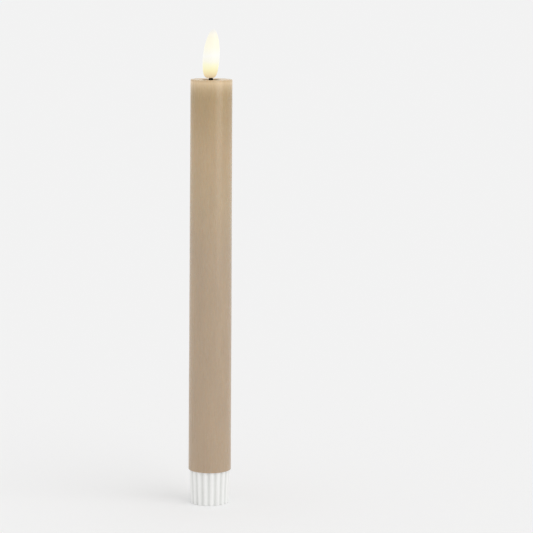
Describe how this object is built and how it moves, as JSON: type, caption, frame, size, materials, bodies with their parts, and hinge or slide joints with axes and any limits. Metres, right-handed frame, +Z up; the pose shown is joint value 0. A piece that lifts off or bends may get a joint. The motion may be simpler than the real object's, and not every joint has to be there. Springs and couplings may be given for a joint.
{
  "type": "flameless led candle",
  "caption": "Slim straight battery taper candle: moulded glowing flame on a black wick, dipped wax body, and a fluted tapered base that draws out with the cell cradle.",
  "frame": {"origin": "centre of the fluted base's underside, on the plane it stands on", "axes": "+Z up along the candle's axis, +X towards the side the flame's tip leans to, which is also the way the switch slides from on to off"},
  "size_m": [0.0228, 0.0228, 0.2543],
  "materials": {
    "wax": "soft satin dipped wax, warm taupe",
    "liner_plastic": "plain moulded",
    "wick_plastic": "black, dull",
    "flame_silicone": "translucent, glowing warm white",
    "led_epoxy": "clear warm-white lamp",
    "nickel_plate": "nickel plated",
    "red_insulation": "satin",
    "black_insulation": "satin",
    "board_laminate": "green solder mask",
    "black_epoxy": "moulded package",
    "capacitor_sleeve": "dark blue sleeve",
    "steel": "bright",
    "cell_jacket": "printed jacket, no text",
    "white_plastic": "satin moulded",
    "knob_plastic": "black moulded"
  },
  "bodies": {
    "candle": {"wax_shell": "wax", "liner_tube": "liner_plastic", "top_plug": "liner_plastic", "wick_stem": "wick_plastic", "flame_lens": "flame_silicone", "led_lamp": "led_epoxy", "led_lead_positive": "nickel_plate", "led_lead_negative": "nickel_plate", "led_wire_positive": "red_insulation", "led_wire_negative": "black_insulation", "shrink_sleeve_positive": "red_insulation", "shrink_sleeve_negative": "black_insulation", "contact_block": "liner_plastic", "contact_finger_centre": "nickel_plate", "contact_finger_side": "nickel_plate", "circuit_board": "board_laminate", "controller_chip": "black_epoxy", "timing_crystal": "steel", "filter_capacitor": "capacitor_sleeve", "led_resistor": "black_epoxy"},
    "cells": {"cell_upper": "cell_jacket", "cell_lower": "cell_jacket"},
    "holder": {"fluted_base": "white_plastic", "battery_cradle": "white_plastic", "positive_contact": "nickel_plate", "negative_strip": "nickel_plate", "battery_spring": "steel", "switch_board": "board_laminate", "board_screw_right": "steel", "board_screw_left": "steel", "switch_housing": "steel"},
    "switch": {"switch_knob": "knob_plastic"}
  },
  "joints": [
    {"name": "holder_pull", "type": "slide", "parent": "candle", "child": "cells", "axis": [0, 0, -1], "range_m": [0, 0.1]},
    {"name": "base_turn", "type": "hinge", "parent": "cells", "child": "holder", "pos_m": [0, 0, 0], "axis": [0, 0, 1], "range_deg": [0, 25]},
    {"name": "switch_slide", "type": "slide", "parent": "holder", "child": "switch", "axis": [1, 0, 0], "range_m": [0, 0.0036]}
  ]
}
